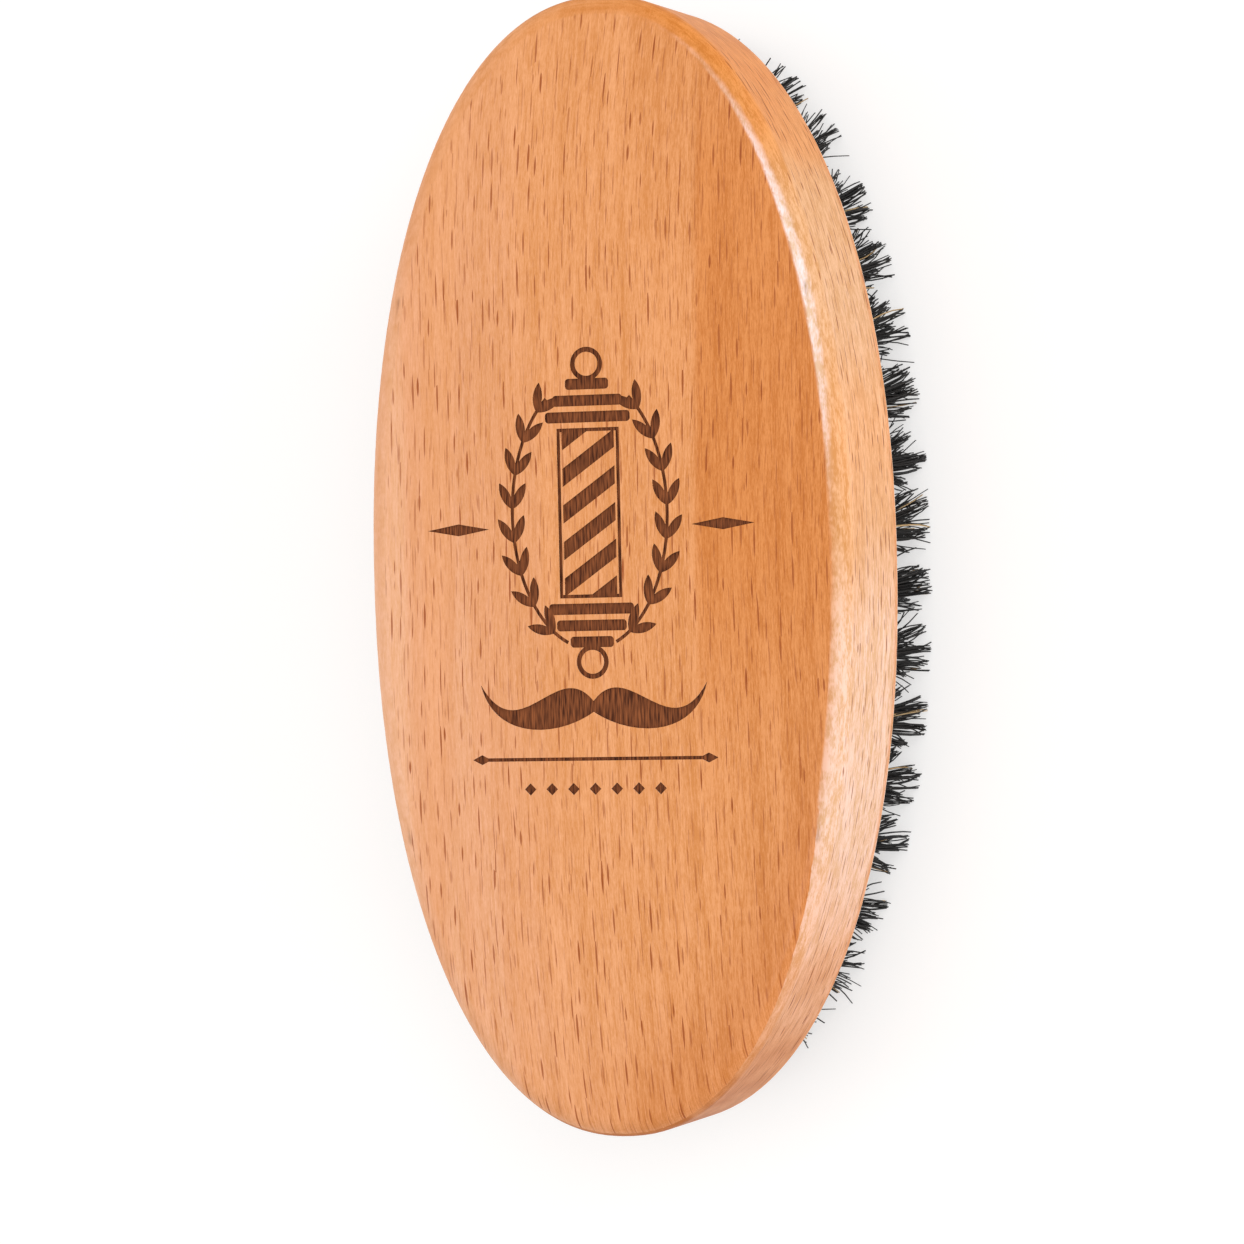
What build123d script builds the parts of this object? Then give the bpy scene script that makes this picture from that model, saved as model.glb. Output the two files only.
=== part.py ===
from build123d import *
from math import atan2, copysign, cos, degrees, radians, sin, tau
import os

os.makedirs("parts", exist_ok=True)

# An oval, palm-held beard brush, lying on its bristles.
#
# The handle is one beech block with no separate grip. Blind holes are drilled into its lower
# face along concentric ovals. Into each hole goes a bundle of bristles, folded in half over a
# short piece of flat wire, the anchor, which is driven in across the hole and bites the wood on
# both sides. The free bristles spread a little on their way to the trimmed ends.
#
# Frame, in millimetres: the trimmed bristle ends stand on Z = 0 and Z goes up to the palm face.
# Y runs along the brush and X across it, and the Z axis passes through the middle of the oval.
# Seen from the palm face, top is the +Y end and right is the +X side.

# The block
block_length = 114.3
block_width = 50.8
block_thickness = 18.0
outline_power = 2.16  # superellipse exponent: 2 is a plain ellipse, more is fuller
outline_points = 48
palm_edge_radius = 2.0
bristle_edge_radius = 0.8

# The tufts: how far the free bristles stand out of the wood, and how wide they spread
bristle_length = 14.0
hole_diameter = 3.0
hole_depth = 8.0
tuft_clearance = 0.02  # between the packed root and the hole
root_gap = 0.1  # between the fold and the bottom of the hole
tuft_tip_radius = 2.2

# The anchors: flat wire, cut a little longer than the hole is wide
anchor_length = 3.6
anchor_thickness = 0.4
anchor_height = 2.0
anchor_cover = 0.5  # bristle under the anchor, at the fold

# Concentric ovals of holes: the rim oval is set in from the block's outline, more at the ends than
# at the sides, and each next oval is narrower and shorter by these steps
rim_inset_side = 4.0
rim_inset_end = 7.5
ring_step_x = 4.6
ring_step_y = 6.2
# name, tufts in the ring, and how far the first tuft is from the +X axis, in tuft pitches
rings = (
    ("rim", 36, 0.5),
    ("outer", 32, 0.0),
    ("middle", 28, 0.5),
    ("inner", 20, 0.0),
    ("core", 12, 0.0),
)
quarters = ("top_right", "top_left", "bottom_left", "bottom_right")

# The engraving on the palm face: a barber's pole in a laurel wreath, with marks beside and below
engraving_depth = 0.2
engraving_x = -1.5
emblem_y = 5.4
side_mark_y = 4.0
side_mark_offset = 14.0
moustache_y = -14.0
rule_y = -19.2
diamond_row_y = -22.2
fine_line = 0.35
bold_line = 0.5

pole_width = 6.6
pole_height = 17.0
stripe_width = 1.5
stripe_angle = 35
stripe_count = 8
collar_height = 1.1
collar_pitch = 1.65
collar_widths = (9.0, 7.4, 4.6)  # at each end of the glass, from the glass outwards
ball_radius = 1.7
ball_offset = 14.9

wreath_half_width = 8.2
wreath_half_height = 13.6
wreath_start = -72  # degrees round the oval of the right stem, from its right side
wreath_sweep = 130
leaf_pairs = 8
leaf_length = 3.0
leaf_sagitta = 0.5
leaf_spread = 28  # degrees between a leaf and its stem

moustache_half_width = 12.0
side_mark_length = 6.6
side_mark_height = 1.2
rule_length = 24.0
rule_diamond = 1.0
diamond_radius = 0.62
diamond_pitch = 2.3
diamond_count = 7

# Heights that follow from the above
wood_height = bristle_length
palm_height = wood_height + block_thickness
tuft_root_radius = hole_diameter / 2 - tuft_clearance
tuft_top = wood_height + hole_depth - root_gap
anchor_middle = tuft_top - anchor_cover - anchor_height / 2


def oval(half_width, half_length):
    """Closed superellipse curve, counterclockwise from the +X axis."""
    shape = 2 / outline_power
    points = []
    for i in range(outline_points):
        c = cos(tau * i / outline_points)
        s = sin(tau * i / outline_points)
        x = half_width * copysign(abs(c) ** shape, c)
        y = half_length * copysign(abs(s) ** shape, s)
        points.append((x, y))
    return Spline(*points, periodic=True)


def ring_spots(ring, count, start):
    """Middles of a ring's tufts, evenly spaced along its oval."""
    with BuildLine() as path:
        oval(
            block_width / 2 - rim_inset_side - ring * ring_step_x,
            block_length / 2 - rim_inset_end - ring * ring_step_y,
        )
    spots = [path.line @ ((i + start) / count) for i in range(count)]
    return [(spot.X, spot.Y) for spot in spots]


# Engraved figures, each drawn flat round its own middle


def barber_pole():
    """A glass cylinder with slanting stripes, between two stepped caps and two balls."""
    glass_width = pole_width - 2 * fine_line
    glass_height = pole_height - 2 * fine_line
    stripe_pitch = 2 * stripe_width / cos(radians(stripe_angle))
    with BuildSketch() as stripes:
        with GridLocations(0, stripe_pitch, 1, stripe_count):
            Rectangle(2 * pole_width, stripe_width, rotation=stripe_angle)
        Rectangle(glass_width - fine_line, glass_height, mode=Mode.INTERSECT)
    with BuildSketch() as pole:
        Rectangle(pole_width, pole_height)
        Rectangle(glass_width, glass_height, mode=Mode.SUBTRACT)
        add(stripes.sketch)
        for end in (1, -1):
            for step, width in enumerate(collar_widths):
                collar_y = pole_height / 2 + collar_height + step * collar_pitch
                with Locations((0, end * collar_y)):
                    RectangleRounded(width, collar_height, collar_height / 3)
            with Locations((0, end * ball_offset)):
                Circle(ball_radius)
                Circle(ball_radius - bold_line, mode=Mode.SUBTRACT)
    return pole.sketch


def leaf():
    """A pointed leaf that starts at the origin and points along +X."""
    with BuildSketch() as blade:
        with BuildLine():
            SagittaArc((0, 0), (leaf_length, 0), leaf_sagitta)
            SagittaArc((leaf_length, 0), (0, 0), leaf_sagitta)
        make_face()
    return blade.sketch


def laurel_wreath():
    """Two mirrored stems with pairs of leaves, open at the top and at the bottom."""
    blade = leaf()
    with BuildSketch() as wreath:
        with BuildLine():
            stem = EllipticalCenterArc(
                (0, 0),
                wreath_half_width,
                wreath_half_height,
                start_angle=wreath_start,
                arc_size=wreath_sweep,
            )
        trace(line_width=fine_line)
        for i in range(leaf_pairs):
            foot = stem @ ((i + 0.5) / leaf_pairs)
            run = stem % ((i + 0.5) / leaf_pairs)
            heading = degrees(atan2(run.Y, run.X))
            for side in (leaf_spread, -leaf_spread):
                with Locations(Location((foot.X, foot.Y), heading + side)):
                    add(blade)
        mirror(about=Plane.YZ)
    return wreath.sketch


def moustache():
    """A moustache with raised ends, its right half drawn and mirrored."""
    w = moustache_half_width
    with BuildSketch() as figure:
        with BuildLine() as half:
            upper = Spline((0, 0.6), (0.22 * w, 1.9), (0.55 * w, 0.3), (w, 2.4))
            Spline(upper @ 1, (0.72 * w, -1.7), (0.3 * w, -2.0), (0, -0.5))
            mirror(half.line, about=Plane.YZ)
        make_face()
    return figure.sketch


def diamond(width, height):
    """A diamond standing on its corner."""
    with BuildSketch() as figure:
        Polygon((width / 2, 0), (0, height / 2), (-width / 2, 0), (0, -height / 2))
    return figure.sketch


def ruled_line():
    """A thin line that ends in a diamond on each side."""
    with BuildSketch() as figure:
        Rectangle(rule_length, fine_line)
        with GridLocations(rule_length, 0, 2, 1):
            add(diamond(2 * rule_diamond, rule_diamond))
    return figure.sketch


# The block, with its edges eased, its holes and anchor slits, and the engraving

tuft_spots = {name: ring_spots(k, count, start) for k, (name, count, start) in enumerate(rings)}
holes = [spot for spots in tuft_spots.values() for spot in spots]

with BuildPart() as handle_block:
    with BuildSketch(Plane.XY.offset(wood_height)):
        with BuildLine():
            oval(block_width / 2, block_length / 2)
        make_face()
    extrude(amount=block_thickness)
    fillet(handle_block.edges().group_by(Axis.Z)[-1], palm_edge_radius)
    fillet(handle_block.edges().group_by(Axis.Z)[0], bristle_edge_radius)
    with Locations(*[Location((x, y, wood_height), (180, 0, 0)) for x, y in holes]):
        Hole(hole_diameter / 2, hole_depth)
    with Locations(*[(x, y, anchor_middle) for x, y in holes]):
        Box(anchor_length, anchor_thickness, anchor_height, mode=Mode.SUBTRACT)
    with BuildSketch(Plane.XY.offset(palm_height)):
        with Locations((engraving_x, emblem_y)):
            add(barber_pole())
            add(laurel_wreath())
        with Locations((engraving_x, side_mark_y)):
            with GridLocations(2 * side_mark_offset, 0, 2, 1):
                add(diamond(side_mark_length, side_mark_height))
        with Locations((engraving_x, moustache_y)):
            add(moustache())
        with Locations((engraving_x, rule_y)):
            add(ruled_line())
        with Locations((engraving_x, diamond_row_y)):
            with GridLocations(diamond_pitch, 0, diamond_count, 1):
                add(diamond(2 * diamond_radius, 2 * diamond_radius))
    extrude(amount=-engraving_depth, mode=Mode.SUBTRACT)

handle_block.part.label = "handle_block"
export_step(handle_block.part, "parts/handle_block.step")


# One tuft and one anchor, on the Z axis

with BuildPart() as tuft:
    with BuildSketch(Plane.XZ):
        with BuildLine():
            Polyline(
                (0, 0),
                (tuft_tip_radius, 0),
                (tuft_root_radius, wood_height),
                (tuft_root_radius, tuft_top),
                (0, tuft_top),
                close=True,
            )
        make_face()
    revolve(axis=Axis.Z)
    with Locations((0, 0, anchor_middle)):
        Box(anchor_length, anchor_thickness, anchor_height, mode=Mode.SUBTRACT)

with BuildPart() as anchor:
    with Locations((0, 0, anchor_middle)):
        Box(anchor_length, anchor_thickness, anchor_height)


# Every ring in four quarters, each with its tufts and the anchors that hold them

for ring_name, spots in tuft_spots.items():
    share = len(spots) // len(quarters)
    for quarter, quarter_name in enumerate(quarters):
        own_spots = spots[quarter * share : (quarter + 1) * share]
        for kind, piece in (("tufts", tuft), ("anchors", anchor)):
            with BuildPart() as group:
                with Locations(*own_spots):
                    add(piece.part)
            group.part.label = f"{ring_name}_{kind}_{quarter_name}"
            export_step(group.part, f"parts/{group.part.label}.step")
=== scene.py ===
# %% [markdown]
# # An oval beard brush
#
# The brush is one block of beech with 128 tufts of dark bristle set in its lower face. The model
# of its wood and wire comes ready from the frame: the block has its rounded edges, its drilled
# holes and its engraving, and every tuft is a plain cone. This lesson gives the wood its grain
# and lacquer, scorches the engraving, and grows real bristles where the cones stand.

# %% Load the frame
import math
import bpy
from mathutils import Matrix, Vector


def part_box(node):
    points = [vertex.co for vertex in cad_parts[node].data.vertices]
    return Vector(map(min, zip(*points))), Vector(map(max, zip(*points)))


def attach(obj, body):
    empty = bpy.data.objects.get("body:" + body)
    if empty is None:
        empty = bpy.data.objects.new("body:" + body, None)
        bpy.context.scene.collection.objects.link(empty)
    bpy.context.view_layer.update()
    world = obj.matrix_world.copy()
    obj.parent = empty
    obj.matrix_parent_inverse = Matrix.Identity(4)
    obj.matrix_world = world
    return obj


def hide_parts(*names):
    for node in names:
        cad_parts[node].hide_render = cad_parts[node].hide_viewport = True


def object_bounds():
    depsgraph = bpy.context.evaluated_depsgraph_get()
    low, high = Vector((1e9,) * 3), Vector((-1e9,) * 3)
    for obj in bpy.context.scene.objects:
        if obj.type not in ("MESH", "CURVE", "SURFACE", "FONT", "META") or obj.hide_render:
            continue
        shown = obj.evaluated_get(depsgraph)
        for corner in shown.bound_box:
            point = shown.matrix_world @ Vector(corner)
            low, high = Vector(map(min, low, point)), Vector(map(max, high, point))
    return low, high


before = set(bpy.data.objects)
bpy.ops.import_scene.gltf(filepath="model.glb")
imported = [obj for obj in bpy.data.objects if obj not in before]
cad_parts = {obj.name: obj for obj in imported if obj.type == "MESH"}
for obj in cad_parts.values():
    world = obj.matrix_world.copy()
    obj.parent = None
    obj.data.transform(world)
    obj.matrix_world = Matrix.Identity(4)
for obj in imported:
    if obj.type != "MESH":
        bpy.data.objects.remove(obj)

from types import SimpleNamespace

import bmesh
import bpy
import numpy as np
from mathutils import Matrix, Vector

MM = 0.001
cad_low, cad_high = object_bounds()
block_low, block_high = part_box("handle_block")
wood_z = block_low.z  # the face that the tufts stand in
palm_z = block_high.z
half_width = block_high.x / MM
half_length = block_high.y / MM
print("brush", [round(side / MM, 1) for side in cad_high - cad_low], "mm, wood from", round(wood_z / MM, 1))

# %% [markdown]
# ## Shader maths that reads like maths
#
# A procedural finish is a formula: so much of this colour where that mask is high. Built node by
# node, the formula drowns in wiring. A small class that wraps one output socket, with the usual
# operators, keeps it readable: `1 - mask` adds a Math node by itself. Any other node comes from
# `node`, which takes the node's type, its settings, and the values or wires of its sockets.

# %% The Wire class
class Wire:
    """One output socket of a shader node. Arithmetic on it adds Math nodes to its material."""

    def __init__(self, tree, socket=None):
        self.tree = tree
        self.socket = socket

    def node(self, kind, settings=None, sockets=None):
        """Adds a node and sets it up: first its settings, then its sockets, by name or number."""
        new = self.tree.nodes.new("ShaderNode" + kind)
        for name, value in (settings or {}).items():
            if name == "stops":
                while len(new.color_ramp.elements) < len(value):
                    new.color_ramp.elements.new(1.0)
                for element, (place, colour) in zip(new.color_ramp.elements, value):
                    element.position = place
                    element.color = (*colour, 1.0)
            else:
                setattr(new, name, value)
        for name, value in (sockets or {}).items():
            if isinstance(value, Wire):
                self.tree.links.new(value.socket, new.inputs[name])
            else:
                new.inputs[name].default_value = value
        return new

    def out(self, node, name=0):
        return Wire(self.tree, node.outputs[name])

    def math(self, operation, *values, clamp=False):
        settings = {"operation": operation, "use_clamp": clamp}
        return self.out(self.node("Math", settings, dict(enumerate(values))))

    def __add__(self, other):
        return self.math("ADD", self, other)

    def __sub__(self, other):
        return self.math("SUBTRACT", self, other)

    def __rsub__(self, other):
        return self.math("SUBTRACT", other, self)

    def __mul__(self, other):
        return self.math("MULTIPLY", self, other)

    def __truediv__(self, other):
        return self.math("DIVIDE", self, other)

    __radd__ = __add__
    __rmul__ = __mul__

    def size(self):
        return self.math("ABSOLUTE", self)

    def clipped(self):
        return self.math("ADD", self, 0.0, clamp=True)

    def step(self, low, high):
        """0 below low, 1 above high, and a soft rise between them. low may be the higher one."""
        sockets = {"Value": self, "From Min": low, "From Max": high}
        if low > high:
            sockets = {"Value": self, "From Min": high, "From Max": low, "To Min": 1.0, "To Max": 0.0}
        return self.out(self.node("MapRange", {"interpolation_type": "SMOOTHSTEP"}, sockets))

    def blend(self, at_zero, at_one, how="MIX"):
        """Goes from one colour to another as this wire goes from 0 to 1."""
        colours = {}
        for number, colour in ((6, at_zero), (7, at_one)):
            colours[number] = colour if isinstance(colour, Wire) else (*colour, 1.0)
        settings = {"data_type": "RGBA", "blend_type": how, "clamp_factor": True}
        return self.out(self.node("Mix", settings, {0: self, **colours}), 2)

    def tinted(self, colour):
        """One colour multiplied by another, channel by channel."""
        return self.out(self.node("VectorMath", {"operation": "MULTIPLY"}, {0: self, 1: colour}))

    def scaled(self, factor):
        """A colour or vector made brighter or longer by a factor."""
        return self.out(self.node("VectorMath", {"operation": "SCALE"}, {0: self, "Scale": factor}))

    def vector(self, x, y, z=0.0):
        return self.out(self.node("CombineXYZ", None, {0: x, 1: y, 2: z}))

    def parts(self):
        split = self.node("SeparateXYZ", None, {0: self})
        return [self.out(split, i) for i in range(3)]

    def noise(self, x, y, z=0.0, detail=2.0, roughness=0.5):
        """Cloudy values round 0, mostly from -0.5 to 0.5, one swell per unit of x, y and z."""
        sockets = {"Vector": self.vector(x, y, z), "Scale": 1.0, "Detail": detail, "Roughness": roughness}
        return self.out(self.node("TexNoise", {"noise_dimensions": "3D"}, sockets)) - 0.5


def new_material(name):
    """A material with one Principled shader. Returns it, its shader node and a first wire."""
    material = bpy.data.materials.new(name)
    material.use_nodes = True
    tree = material.node_tree
    shader = tree.nodes["Principled BSDF"]
    return material, shader, Wire(tree)


def connect(wire, shader, socket):
    wire.tree.links.new(wire.socket, shader.inputs[socket])


def add_bump(height, shader, strength, distance):
    """Raises the surface by height times a distance in millimetres, in its shading only."""
    settings = {"Height": height, "Strength": strength, "Distance": distance * MM}
    bump = height.node("Bump", None, settings)
    connect(height.out(bump, "Normal"), shader, "Normal")


# %% [markdown]
# ## Colours
#
# Colours are easiest to judge as they show on a screen, from 0 to 255. Shaders count light, so
# each one is turned into linear values first.

# %% Screen colour to linear
def linear(*screen):
    values = [channel / 255 for channel in screen]
    return tuple(v / 12.92 if v <= 0.04045 else ((v + 0.055) / 1.055) ** 2.4 for v in values)


# %% [markdown]
# ## Beech: where each point lies
#
# Wood grain belongs to the block and not to its surface, so the pattern is worked out from object
# coordinates, in millimetres. The fibres run along the brush. They are nearly straight in the
# middle and bow aside ever faster towards the two ends, so the distance across the grain is x less
# a little of y squared and a very little of y to the fourth, with a slow waver. The palm face and
# the underside show the pattern over x and y. The side wall shows it over height and y.
#
# The direction that the surface faces tells the palm face, the wall and the rounding between them
# apart. The crease, where the palm face turns into wall, is crisp. It lies at the top of the
# rounding along most of the brush and sinks down it towards the bottom end.
#
# All of these go into one bag of named wires, which the next cells read and add to.

# %% Grain coordinates
FIBRE_BOW = 2.0e-4  # sideways drift for y squared, all in millimetres
END_BOW = 1.7e-7  # sideways drift for y to the fourth
WAVER = 0.9
WALL_WAVER = 0.8
CREASE = (0.985, 0.9985)  # how squarely a surface faces up where the palm face starts
CREASE_SINKS = (-22.0, -56.0)  # y between which the crease sinks down the rounding
CREASE_DROP = 0.4
END_WALL = (0.6, 0.92)  # how far along the brush a wall faces where it counts as an end


def grain_places(wire):
    """Where a point of the block lies, in millimetres, and which of its faces it belongs to."""
    at = SimpleNamespace(wire=wire)
    coordinates = wire.node("TexCoord")
    at.x, at.y, at.z = wire.out(coordinates, "Object").scaled(1 / MM).parts()
    at.face_x, at.face_y, at.face_z = wire.out(coordinates, "Normal").parts()

    squared = at.y * at.y
    waver = wire.noise(at.x * 0.08, at.y * 0.05, at.z * 0.08, detail=1.0) * WAVER
    at.across = at.x - squared * (squared * END_BOW + FIBRE_BOW) + waver
    at.wall_across = at.z + wire.noise(at.y * 0.12, at.z * 0.1, detail=1.0) * WALL_WAVER

    sunk = at.y.step(*CREASE_SINKS) * CREASE_DROP
    at.palm = (at.face_z + sunk).step(*CREASE)
    at.flat = (at.face_z.size() + sunk).step(*CREASE)
    at.wall = 1 - at.flat
    at.end = at.face_y.size().step(*END_WALL) * at.wall
    return at


# %% [markdown]
# ## Beech: the flecks
#
# What tells beech from any other pale wood is its flecks: the ends of its rays, which show as
# thousands of short dark spindles along the grain. A noise can't draw a spindle, but a Voronoi
# pattern can. It cuts the surface into cells, and gives each point the middle of its own cell and
# a random colour. From the middle comes the distance along and across the grain, and the random
# colour sets the length, width and strength of that cell's one fleck.

# %% One layer of flecks
def fleck_layer(wire, across, along, pitch, length, width, soft):
    """Mask of spindle-shaped flecks, one in each cell. All sizes are in millimetres."""
    pitch_across, pitch_along = pitch
    place = wire.vector(across / pitch_across, along / pitch_along)
    settings = {"voronoi_dimensions": "2D", "feature": "F1"}
    cells = wire.node("TexVoronoi", settings, {"Vector": place, "Scale": 1.0, "Randomness": 0.9})
    middle = wire.out(cells, "Position").parts()
    chance = wire.out(cells, "Color").parts()
    off_across = (across / pitch_across - middle[0]) * pitch_across
    off_along = (along / pitch_along - middle[1]) * pitch_along
    reach = off_along / ((chance[0] * 0.65 + 0.35) * (length / 2))
    half_fleck = (chance[1] * 0.7 + 0.5) * (width / 2) * (1 - reach * reach)
    inside = (half_fleck - off_across.size()) / soft + 0.5
    return inside.clipped() * (chance[2] * 0.75 + 0.25)


# %% Flecks of the whole block
LARGE_FLECKS = {"pitch": (1.25, 3.8), "length": 4.0, "width": 0.19, "soft": 0.05}
SMALL_FLECKS = {"pitch": (0.85, 2.6), "length": 2.6, "width": 0.13, "soft": 0.05}
WALL_FLECKS = {"pitch": (1.6, 2.7), "length": 2.8, "width": 0.32, "soft": 0.09}
SET_APART = 31.0  # so that small flecks don't start from the cells of the large ones


def ray_flecks(at):
    """Mask of every fleck: two sizes on the palm face and the underside, one on the side wall."""
    large = fleck_layer(at.wire, at.across, at.y, **LARGE_FLECKS)
    small = fleck_layer(at.wire, at.across + SET_APART, at.y, **SMALL_FLECKS)
    upright = fleck_layer(at.wire, at.wall_across, at.y, **WALL_FLECKS)
    upright = upright * (at.wall - at.end) * at.face_z.size().step(0.5, 0.2)
    return at.flat * (large * 0.9 + small * 0.5) + upright * 0.9


# %% [markdown]
# ## Beech: bands, streaks and fibres
#
# Between the flecks the wood has lines at every scale: growth bands a few millimetres wide, stripes
# within them, and streaks down to single fibres. Each is the same noise, stretched along the brush
# and squeezed across it. The wall is cut the other way through the rings, so it has streaks of its
# own over height, and an end wall shows fibres cut across.

# %% Lines of the grain
def grain_lines(at):
    """Adds the bands, stripes, streaks, lines and fibres to the bag, each round 0.

    The factors are swells per millimetre, and a number by itself picks a slice of the noise.
    """
    noise = at.wire.noise
    flat_streaks = noise(at.across * 2.4, at.y * 0.12, at.z * 0.3, detail=3.0, roughness=0.8)
    wall_streaks = noise(at.wall_across * 1.4, at.y * 0.2, 7.0, detail=3.0, roughness=0.8)
    end_streaks = noise(at.x * 1.1, at.z * 0.5, 3.0, detail=3.0, roughness=0.6)
    at.streaks = at.flat * flat_streaks + (at.wall - at.end) * wall_streaks + at.end * end_streaks
    flat_lines = noise(at.across * 5.5, at.y * 0.4, 11.0, roughness=0.8)
    wall_lines = noise(at.wall_across * 3.0, at.y * 0.5, 5.0, roughness=0.8)
    at.lines = at.flat * flat_lines + at.wall * wall_lines
    at.fibres = noise(at.across * 8.0, at.y * 1.5, at.z * 9.0, roughness=0.8)
    at.bands = noise(at.across * 0.3, at.y * 0.012, at.z * 0.05)
    at.stripes = noise(at.across * 0.8 + 17.0, at.y * 0.03, at.z * 0.6)


# %% Light and dark of the grain
DARK_GRAIN = (0.86, 0.77, 0.58)
LIGHT_GRAIN = (1.10, 1.18, 1.38)
CRISPNESS = 1.05  # contrast of the fine grain along the middle
CRISPER_RIGHT = 0.022  # what that gains for each millimetre to the right


def grain_tint(at):
    """What the wood's colour is multiplied by: dark in the grain's lines and light between."""
    fine = at.streaks * 1.4 + at.lines * 1.9 + at.fibres * 1.5 + at.stripes
    tone = fine * (at.x * CRISPER_RIGHT + CRISPNESS) + at.bands * 0.5 + 0.5
    return tone.clipped().blend(DARK_GRAIN, LIGHT_GRAIN)


# %% [markdown]
# ## Beech: the palm face
#
# The palm face is a warm tan, palest along its left edge and more orange to the right, with a
# band of deep orange heartwood along the upper right and a warmer rim at the lower right. A ramp
# gives the change from left to right, shifted a little by the growth bands, and the two darker
# places are blended in over it.

# %% Colour of the palm face
PALM_STOPS = (
    (0.05, linear(237, 178, 138)),
    (0.20, linear(228, 160, 113)),
    (0.40, linear(228, 156, 101)),
    (0.60, linear(225, 151, 93)),
    (0.80, linear(218, 142, 82)),
    (1.00, linear(211, 135, 75)),
)
WARMER_RIGHT = 0.018  # share of the ramp for each millimetre to the right
WARMER_UP = 0.002
HEARTWOOD = linear(213, 132, 67)
HEARTWOOD_STARTS = (9.2, 10.6)  # across the grain
HEARTWOOD_FADES = ((-26.0, 4.0), (54.0, 38.0))  # along the brush, at its lower and upper end
LOWER_RIM = linear(206, 125, 66)
LOWER_RIM_STRENGTH = 0.55


def palm_tones(at):
    warmth = at.x * WARMER_RIGHT + at.y * WARMER_UP + at.bands * 0.5 + 0.5
    colour = at.wire.out(at.wire.node("ValToRGB", {"stops": PALM_STOPS}, {"Fac": warmth}))
    heart = (at.across + at.bands * 1.5).step(*HEARTWOOD_STARTS)
    for fade in HEARTWOOD_FADES:
        heart = heart * at.y.step(*fade)
    colour = heart.blend(colour, HEARTWOOD)
    outwards = at.x * at.x / half_width**2 + at.y * at.y / half_length**2  # 1 at the outline
    low_right = outwards.step(0.50, 0.92) * at.x.step(-8.0, 8.0) * at.y.step(-6.0, -34.0)
    return (low_right * LOWER_RIM_STRENGTH).blend(colour, LOWER_RIM)


# %% [markdown]
# ## Beech: the side wall and the edges
#
# The side wall is cut the other way through the rings. On the right side and round both ends it is orange
# at the ends and palest below the middle. The orange ends are partly the wood's own tone and partly painted
# shade where less light falls. The pale pink below the middle is painted sheen and light from the right.
# The left wall keeps the palm face's colours. Two edges get a painted highlight. Along the upper right of
# the palm edge's rounding it is a pale line, widest at its middle and thin towards its ends. The eased edge
# at the bristle side gets a fine pale line of painted highlight.

# %% Colour of the wall
# Ramp of the right wall from its bottom end to its top end. It is partly the wood's own tone and partly
# painted light: the pale pink stops below the middle are painted sheen and light from the right, and the
# orange ends are partly painted shade.
WALL_TONE_AND_PAINTED_SHEEN = (
    (0.00, linear(186, 108, 48)),
    (0.06, linear(208, 139, 89)),
    (0.14, linear(224, 166, 127)),
    (0.28, linear(230, 187, 158)),
    (0.42, linear(230, 184, 151)),
    (0.51, linear(219, 160, 110)),
    (0.60, linear(225, 162, 110)),
    (0.72, linear(217, 165, 120)),
    (0.80, linear(216, 161, 112)),
    (0.88, linear(212, 142, 80)),
    (0.95, linear(212, 131, 60)),
)
BRISTLE_RIM = linear(214, 138, 80)
BRISTLE_RIM_STRENGTH = 0.7
BRISTLE_RIM_HEIGHTS = (wood_z / MM + 2.2, wood_z / MM + 1.0)  # where it has gone, and is full


def wall_tones(at, palm_colour):
    wire = at.wire
    up = at.y / (2 * half_length) + at.bands * 0.15 + 0.5
    # The right wall and the ends take the ramp with its painted sheen and light.
    right_wall_tone_and_sheen = wire.out(wire.node("ValToRGB", {"stops": WALL_TONE_AND_PAINTED_SHEEN}, {"Fac": up}))
    toned = wire.math("MAXIMUM", at.face_x.step(-0.3, 0.5), at.end)
    colour = toned.blend(palm_colour, right_wall_tone_and_sheen)
    rim = (at.z + wire.noise(at.y * 0.1, 3.0) * 1.2).step(*BRISTLE_RIM_HEIGHTS)
    return (rim * BRISTLE_RIM_STRENGTH).blend(colour, BRISTLE_RIM)


# %% Painted highlights on two edges
# Colour and strength of the painted highlight on the upper right of the palm edge's rounding.
PAINTED_HIGHLIGHT = linear(244, 218, 206)
PAINTED_HIGHLIGHT_STRENGTH = 0.85
HIGHLIGHT_WIDEST = 28.0  # y where the shine on the palm edge is widest
HIGHLIGHT_NARROWS = 0.009  # for each millimetre from there
# Colour and strength of the painted highlight along the eased edge at the bristle side.
PAINTED_RIM_HIGHLIGHT = linear(250, 226, 200)
PAINTED_RIM_HIGHLIGHT_STRENGTH = 0.6


def painted_edge_highlight(at):
    """Mask of the painted highlight on the upper right of the palm edge's rounding."""
    narrowed = (at.y - HIGHLIGHT_WIDEST).size() * HIGHLIGHT_NARROWS
    rounded = (1 - at.palm) * (at.face_z - narrowed).step(0.72, 0.95)
    return rounded * at.face_x.step(-0.05, 0.08) * at.y.step(-8.0, 16.0)


def bristle_edge_highlight(at):
    """Mask of the painted highlight on the rounding between the right wall and the underside."""
    rounded = at.face_z.step(-0.03, -0.22) * at.face_z.step(-0.95, -0.80)
    return rounded * at.face_x.step(0.1, 0.5)


# %% [markdown]
# ## Beech: the scorched engraving
#
# The engraving is burnt in by a laser. Everything that lies a little below the palm face, and
# away from the rounded edge, is the bottom or the side of an engraved line, so the depth itself is
# the mask for the scorched brown. The grain shows through the scorch as a fine hatch, because
# early wood burns deeper than late wood.

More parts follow.
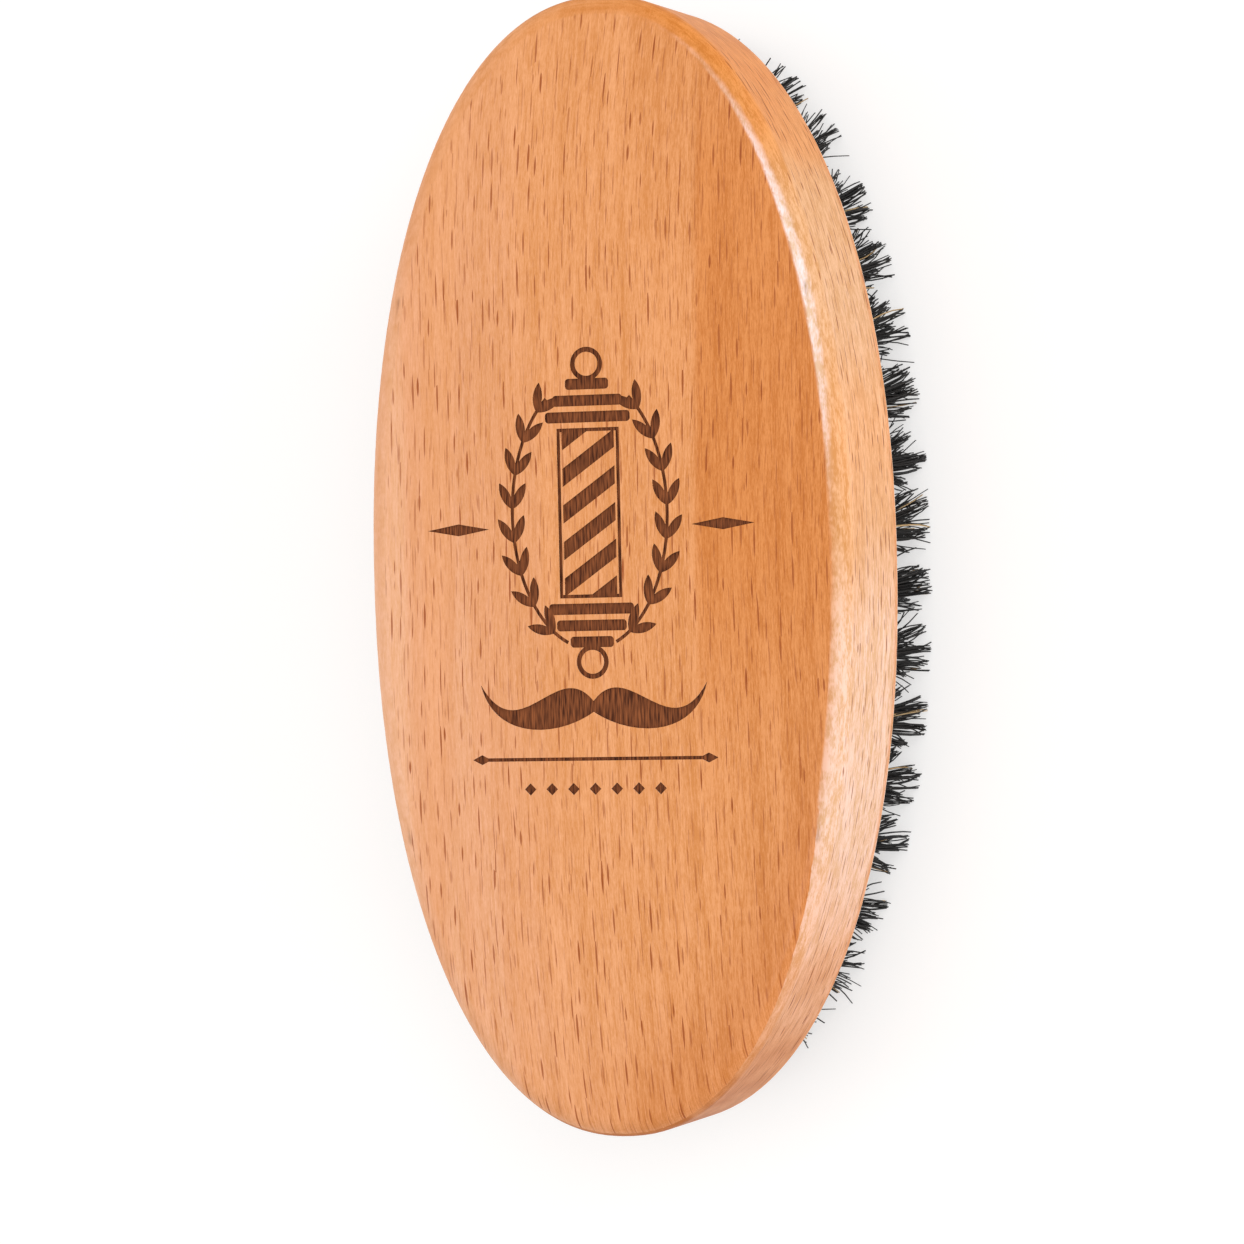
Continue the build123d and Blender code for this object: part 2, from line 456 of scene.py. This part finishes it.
# %% The engraving's mask and hatch
ENGRAVED_HALF = (22.0, 28.0)  # the engraving lies inside this distance from the middle, in x and y
ENGRAVED_DEPTH = (0.03, 0.14)  # where the scorch starts and is full, below the palm face
SCORCH_DARK = linear(64, 30, 17)
SCORCH_LIGHT = linear(146, 84, 48)


def engraving(at):
    """Mask of the engraved lines, and the hatch of the grain inside them, round 0."""
    depth = (palm_z / MM - at.z).step(*ENGRAVED_DEPTH)
    inside = at.x.size().step(ENGRAVED_HALF[0], ENGRAVED_HALF[0] - 1)
    inside = inside * at.y.size().step(ENGRAVED_HALF[1], ENGRAVED_HALF[1] - 1)
    return depth * inside, at.wire.noise(at.x * 6.0, at.y * 0.5, detail=1.0)


# %% [markdown]
# ## Beech: all of it, under lacquer
#
# The layers go on in this order: the colours of palm face and wall, the wall's with its painted sheen and
# light, then the painted highlights on two edges, the tint of the grain, the flecks, the scorch. The
# lacquer is satin: a middling roughness under a thin coat, which the laser has burnt off in the engraving,
# with the pores showing through as a bump of a few hundredths of a millimetre.

# %% The lacquered beech
WALL_FLECK = linear(134, 62, 14)
PALM_FLECK = linear(154, 72, 22)


def lacquered_beech():
    material, shader, wire = new_material("lacquered_beech")
    at = grain_places(wire)
    grain_lines(at)
    flecks = ray_flecks(at)
    highlight_band = painted_edge_highlight(at)
    engraved, hatch = engraving(at)

    palm_colour = palm_tones(at)
    wall_colour = wall_tones(at, palm_colour)
    # Painted highlight on the upper right of the palm edge's rounding.
    wall_colour = (highlight_band * PAINTED_HIGHLIGHT_STRENGTH).blend(wall_colour, PAINTED_HIGHLIGHT)
    # Painted highlight along the eased edge at the bristle side.
    wall_colour = (bristle_edge_highlight(at) * PAINTED_RIM_HIGHLIGHT_STRENGTH).blend(wall_colour, PAINTED_RIM_HIGHLIGHT)
    colour = at.palm.blend(wall_colour, palm_colour)
    colour = colour.tinted(grain_tint(at))
    colour = flecks.clipped().blend(colour, at.palm.blend(WALL_FLECK, PALM_FLECK))
    scorch = (hatch * 2.4 + 0.5).clipped().blend(SCORCH_DARK, SCORCH_LIGHT)
    connect(engraved.blend(colour, scorch), shader, "Base Color")

    rough = flecks * 0.10 + at.fibres * 0.10 + at.wall * 0.12 + engraved * 0.35 + 0.38
    connect(rough, shader, "Roughness")
    connect(at.flat * 0.28 + highlight_band * 0.4 - engraved * 0.30 + 0.03, shader, "Coat Weight")
    shader.inputs["Coat Roughness"].default_value = 0.2
    shader.inputs["Specular IOR Level"].default_value = 0.1
    height = at.fibres * 0.6 + at.streaks * 0.5 - flecks * 0.8 + engraved * hatch
    add_bump(height, shader, strength=0.6, distance=0.03)
    return material


beech = lacquered_beech()
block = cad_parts["handle_block"]
for slot in block.material_slots:
    slot.material = beech
print("beech:", len(beech.node_tree.nodes), "nodes, on", len(block.data.polygons), "faces")

# %% [markdown]
# ## Anchors
#
# The anchors are snippets of drawn flat wire, hidden at the bottom of the holes. Drawing leaves
# fine lines along the wire, so its roughness and bump are a noise stretched along x.

# %% The anchor wire
def drawn_wire():
    material, shader, wire = new_material("anchor_wire")
    x, y, z = wire.out(wire.node("TexCoord"), "Object").scaled(1 / MM).parts()
    lines = wire.noise(x * 0.8, y * 20.0, z * 20.0, detail=2.0)
    tone = (lines + 0.5).clipped().blend(linear(176, 176, 172), linear(206, 205, 200))
    connect(tone, shader, "Base Color")
    connect(lines * 0.3 + 0.34, shader, "Roughness")
    shader.inputs["Metallic"].default_value = 1.0
    add_bump(lines, shader, strength=0.3, distance=0.01)
    return material


anchor_metal = drawn_wire()
anchor_nodes = [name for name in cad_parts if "_anchors_" in name]
for name in anchor_nodes:
    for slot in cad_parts[name].material_slots:
        slot.material = anchor_metal
print("anchors:", len(anchor_nodes), "groups")

# %% [markdown]
# ## Bristle finish
#
# Boar bristle is a coarse, slightly glossy hair. Dyed or natural black, it is never quite black: a
# brush shows grey and brown glints, and no two bristles have the same tone. Every bristle is a
# loose island of its mesh, so the island's own random number can choose its tone.

# %% Two bristle finishes
def bristle_finish(name, dark, light):
    material, shader, wire = new_material(name)
    chance = wire.out(wire.node("NewGeometry"), "Random Per Island")
    x, y, z = wire.out(wire.node("TexCoord"), "Object").scaled(1 / MM).parts()
    mottle = wire.noise(x * 1.5, y * 1.5, z * 0.6, detail=2.0)
    tone = (chance * 0.8 + mottle * 0.6 + 0.1).clipped()
    connect(tone.blend(dark, light), shader, "Base Color")
    connect(mottle * 0.15 + 0.5, shader, "Roughness")
    shader.inputs["Specular IOR Level"].default_value = 0.15
    scales = wire.noise(x * 6.0, y * 6.0, z * 14.0, detail=1.0)
    add_bump(scales, shader, strength=0.2, distance=0.01)
    return material


dark_bristle = bristle_finish("dark_bristle", linear(6, 6, 6), linear(28, 24, 22))
pale_bristle = bristle_finish("pale_bristle", linear(150, 116, 74), linear(206, 178, 132))

# %% [markdown]
# ## Where the tufts stand
#
# The frame holds each quarter of a ring as one object of several separate cones. Walking from
# vertex to vertex finds each cone, and the middle of its box is the middle of the tuft.

# %% Find the tufts
def tuft_middles(node):
    """Middle of each separate solid in a node, as x and y in metres."""
    net = bmesh.new()
    net.from_mesh(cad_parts[node].data)
    bmesh.ops.remove_doubles(net, verts=net.verts, dist=0.001 * MM)
    middles = []
    seen = set()
    for start in net.verts:
        if start in seen:
            continue
        island = []
        waiting = [start]
        seen.add(start)
        while waiting:
            vertex = waiting.pop()
            island.append(vertex.co)
            for edge in vertex.link_edges:
                other = edge.other_vert(vertex)
                if other not in seen:
                    seen.add(other)
                    waiting.append(other)
        xs = [co.x for co in island]
        ys = [co.y for co in island]
        middles.append(((min(xs) + max(xs)) / 2, (min(ys) + max(ys)) / 2))
    net.free()
    return middles


tuft_nodes = [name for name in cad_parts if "_tufts_" in name]
tufts = {name: tuft_middles(name) for name in tuft_nodes}
print("tufts:", sum(len(spots) for spots in tufts.values()), "in", len(tufts), "groups")

# %% [markdown]
# ## Growing the bristles
#
# A tuft could be a cone with a hairy bump, but its outline would stay a cone. A particle system
# would give hair, but not a mesh that another program can read. So each bristle is a thin tapered
# tube, three-sided because it is too fine for its roundness to show.
#
# A bristle rises from the fold at the anchor, leaves the hole nearly straight, and leans out the
# more the further it was from the tuft's middle. Natural bristle clings together in small locks,
# so each bristle bends towards the tip of its own lock. A few strays go their own way, and lengths
# differ a little, because bristle wears and springs. The rim tufts lean outwards, and the whole
# field is combed a little towards the top end. No tip may pass the block's outline, so a tip that
# would is drawn back first, and the bristle is then bent to reach it.

# %% Bristle sizes
BRISTLES_PER_TUFT = 150
LOCKS_PER_TUFT = 17
ROOT_SPREAD = 1.36 * MM  # radius of the bundle in its hole
FOLD_SPREAD = 0.8  # how wide the bundle is at its fold, as a share of that
FOLD_DEPTH = 7.0 * MM  # how far the bristles reach into the wood
LEAN = 1.45  # sideways travel of a bristle, as a multiple of its place in the bundle
EARLY_LEAN = 0.45  # share of the lean that comes evenly along the bristle; the rest comes late
LOCK_SCATTER = 0.40 * MM
OWN_SCATTER = 0.40 * MM
STRAY_SCATTER = 1.2 * MM
STRAYS = 0.14
CLING = 0.6  # how far a bristle is drawn to its lock's tip
BEND = 0.45 * MM
WEAR = 0.8 * MM
WEAR_SHARE = 0.6  # of a lock's wear, and of a bristle's own, in its length
ROOT_RADIUS = 0.105 * MM
TIP_RADIUS = 0.07 * MM
POINT = 0.3 * MM  # length of the pointed end
SIDES = 3
OUTWARD = 0.05  # the rim tufts lean outwards by this share of their distance from the middle
COMBED = 1.0 * MM  # handling has combed all tips this far towards the top end
OVAL_POWER = 2.16  # the block's outline is this superellipse
REACH = 0.985  # no bristle passes this share of the block's outline
FREE_STEPS = (0.0, 0.25, 0.5, 0.7, 0.85, 1.0)
PALE_SHARE = 0.025


def disc(rng, count, radius):
    """Random points spread evenly over a disc."""
    turn = rng.random(count) * math.tau
    reach = radius * np.sqrt(rng.random(count))
    return np.stack([reach * np.cos(turn), reach * np.sin(turn)], axis=1)


def kept_inside(places):
    """Draws points that pass the block's oval outline back to it."""
    half = np.array([block_high.x, block_high.y])
    share = (np.abs(places / half) ** OVAL_POWER).sum(axis=-1) ** (1 / OVAL_POWER)
    return places * np.minimum(1.0, REACH / np.maximum(share, 1e-9))[..., None]


def tuft_paths(rng, middle, outward):
    """Centre lines of one tuft's bristles, as an array of bristle, step, and x, y, z."""
    count = BRISTLES_PER_TUFT
    root = disc(rng, count, ROOT_SPREAD)
    lock_root = disc(rng, LOCKS_PER_TUFT, ROOT_SPREAD)
    lock_tip = lock_root * (1 + LEAN) + rng.normal(0, LOCK_SCATTER, lock_root.shape)
    lock_wear = np.abs(rng.normal(0, WEAR, LOCKS_PER_TUFT))
    gaps = np.linalg.norm(root[:, None] - lock_root[None], axis=2)
    lock = gaps.argmin(axis=1)
    own_tip = root * (1 + LEAN) + rng.normal(0, OWN_SCATTER, root.shape)
    tip = own_tip + CLING * (lock_tip[lock] - own_tip)
    stray = rng.random(count) < STRAYS
    tip[stray] = root[stray] * (1 + LEAN) + rng.normal(0, STRAY_SCATTER, (stray.sum(), 2))
    middle = np.array(middle)
    tip = kept_inside(tip + middle * (1 + outward) + np.array([0.0, COMBED])) - middle
    wear = WEAR_SHARE * (lock_wear[lock] + np.abs(rng.normal(0, WEAR, count)))
    bend = rng.normal(0, BEND, root.shape)

    paths = np.zeros((count, 1 + len(FREE_STEPS), 3))
    paths[:, 0, :2] = root * FOLD_SPREAD
    paths[:, 0, 2] = wood_z + FOLD_DEPTH
    for step, s in enumerate(FREE_STEPS, start=1):
        leaned = EARLY_LEAN * s + (1 - EARLY_LEAN) * s**2
        bowed = 4 * s**2 * (1 - s)
        paths[:, step, :2] = root + (tip - root) * leaned + bend * bowed
        paths[:, step, 2] = wood_z + (wear - wood_z) * s
    paths[:, :, :2] = kept_inside(paths[:, :, :2] + middle)
    return paths


def bristle_mesh(name, paths, rng):
    """Turns centre lines into tapered tubes with a pointed end, all in one mesh."""
    count, steps, _ = paths.shape
    share = np.linspace(0, 1, steps)
    radius = ROOT_RADIUS + (TIP_RADIUS - ROOT_RADIUS) * share**2
    turn = rng.random(count)[:, None] * math.tau + np.arange(SIDES)[None] * math.tau / SIDES
    ring = np.stack([np.cos(turn), np.sin(turn), np.zeros_like(turn)], axis=2)
    thick = 0.8 + 0.4 * rng.random(count)
    tube = paths[:, :, None] + ring[:, None] * (radius[None, :] * thick[:, None])[:, :, None, None]
    point = paths[:, -1].copy()
    point[:, 2] = np.maximum(point[:, 2] - POINT, cad_low.z)
    vertices = np.concatenate([tube.reshape(count, -1, 3), point[:, None]], axis=1)
    per_bristle = vertices.shape[1]

    faces = []
    for step in range(steps - 1):
        for side in range(SIDES):
            a = step * SIDES + side
            b = step * SIDES + (side + 1) % SIDES
            faces.append((a, a + SIDES, b + SIDES, b))
    last = (steps - 1) * SIDES
    for side in range(SIDES):
        faces.append((last + side, per_bristle - 1, last + (side + 1) % SIDES))
    all_faces = []
    for k in range(count):
        first = k * per_bristle
        all_faces.extend([tuple(first + i for i in face) for face in faces])
    mesh = bpy.data.meshes.new(name)
    mesh.from_pydata(vertices.reshape(-1, 3).tolist(), [], all_faces)
    mesh.polygons.foreach_set("use_smooth", [True] * len(mesh.polygons))
    mesh.update()
    piece = bpy.data.objects.new(name, mesh)
    bpy.context.scene.collection.objects.link(piece)
    return piece


# %% [markdown]
# ## One piece per group of tufts
#
# Each group of cones is replaced by a piece of real bristles, so that the groups keep their
# names. The few pale bristles that turn up in natural bristle have their own finish, so they are
# picked out as the tufts grow and gathered in a piece of their own.

# %% Grow every group
pale_paths = []
for number, node in enumerate(sorted(tufts)):
    rng = np.random.default_rng(400 + number)
    outward = OUTWARD if node.startswith("rim") else 0.0
    paths = np.concatenate([tuft_paths(rng, middle, outward) for middle in tufts[node]])
    is_pale = rng.random(len(paths)) < PALE_SHARE
    pale_paths.append(paths[is_pale])
    piece = bristle_mesh(node.replace("_tufts_", "_bristles_"), paths[~is_pale], rng)
    piece.data.materials.append(dark_bristle)
    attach(piece, "root")
    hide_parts(node)

pale_piece = bristle_mesh("pale_bristles", np.concatenate(pale_paths), np.random.default_rng(399))
pale_piece.data.materials.append(pale_bristle)
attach(pale_piece, "root")
print("pale bristles:", sum(len(paths) for paths in pale_paths))

# %% [markdown]
# ## Floor, light and camera
#
# The brush lies on its bristles on a plain pale floor. The light is that of a studio: a
# large soft box overhead for the palm face, one low on the right and towards the top end, which
# makes the rounded edge shine, weaker ones low on the right towards the bottom end and on the
# left, and a white room for the rest. The floor is a light table: it glows by itself, so the
# shadows stay faint.

# %% The floor
WHITE = (1.0, 0.995, 0.99, 1.0)
FLOOR_GLOW = 0.55
FLOOR_HALF = 2.0  # metres


def pale_floor():
    material, shader, wire = new_material("pale_floor")
    x, y, _ = wire.out(wire.node("TexCoord"), "Object").parts()
    cloud = wire.noise(x * 3.0, y * 3.0, detail=2.0)
    tone = (cloud + 0.5).clipped().blend(linear(184, 183, 182), linear(188, 187, 186))
    connect(tone, shader, "Base Color")
    shader.inputs["Roughness"].default_value = 0.8
    shader.inputs["Specular IOR Level"].default_value = 0.2
    shader.inputs["Emission Color"].default_value = WHITE
    shader.inputs["Emission Strength"].default_value = FLOOR_GLOW
    mesh = bpy.data.meshes.new("floor")
    signs = ((-1, -1), (1, -1), (1, 1), (-1, 1))
    corners = [(i * FLOOR_HALF, j * FLOOR_HALF, 0) for i, j in signs]
    mesh.from_pydata(corners, [], [(0, 1, 2, 3)])
    mesh.materials.append(material)
    floor = bpy.data.objects.new("floor", mesh)
    floor.location.z = cad_low.z
    bpy.context.scene.collection.objects.link(floor)


pale_floor()

# %% Lights
middle = (block_low + block_high) / 2


def soft_box(name, offset, side, power):
    """A square area light in watts, at an offset in metres from the block's middle, facing it."""
    light = bpy.data.lights.new(name, "AREA")
    light.size = side
    light.energy = power
    lamp = bpy.data.objects.new(name, light)
    lamp.location = middle + Vector(offset)
    lamp.rotation_euler = (-Vector(offset)).to_track_quat("-Z", "Y").to_euler()
    bpy.context.scene.collection.objects.link(lamp)


soft_box("overhead", (0.15, 0.1, 0.8), 0.6, 2.4)
soft_box("left", (-0.45, 0.0, 0.3), 0.4, 0.65)
soft_box("right_top", (0.40, 0.24, 0.17), 0.25, 0.75)
soft_box("right_bottom", (0.45, -0.20, 0.14), 0.3, 0.5)

ROOM_BRIGHTNESS = 0.57
world = bpy.data.worlds.new("white_room")
world.use_nodes = True
room = world.node_tree.nodes["Background"]
room.inputs["Color"].default_value = WHITE
room.inputs["Strength"].default_value = ROOM_BRIGHTNESS
bpy.context.scene.world = world
bpy.context.scene.view_settings.view_transform = "Standard"

# %% [markdown]
# ## Camera
#
# The camera looks at the palm face from half a metre, a little from the right, so that the side
# wall and the bristles past it show. A long lens keeps the oval true.

# %% The camera
CAMERA_TURN = math.radians(-18.96)
CAMERA_TILT = math.radians(0.27)
CAMERA_ROLL = math.radians(1.29)
CAMERA_DISTANCE = 0.5263
CAMERA_SHIFT = (0.00119, 0.00565)  # how far the block's middle stands right of and above the view's
CAMERA_LENS = 150.05

aim = (
    Matrix.Rotation(CAMERA_ROLL, 3, "Z")
    @ Matrix.Rotation(CAMERA_TILT, 3, "X")
    @ Matrix.Rotation(CAMERA_TURN, 3, "Y")
).transposed()
camera_data = bpy.data.cameras.new("camera")
camera_data.lens = CAMERA_LENS
camera = bpy.data.objects.new("camera", camera_data)
camera.matrix_world = Matrix.Translation(
    middle + aim @ Vector((-CAMERA_SHIFT[0], -CAMERA_SHIFT[1], CAMERA_DISTANCE))
) @ aim.to_4x4()
bpy.context.scene.collection.objects.link(camera)
bpy.context.scene.camera = camera
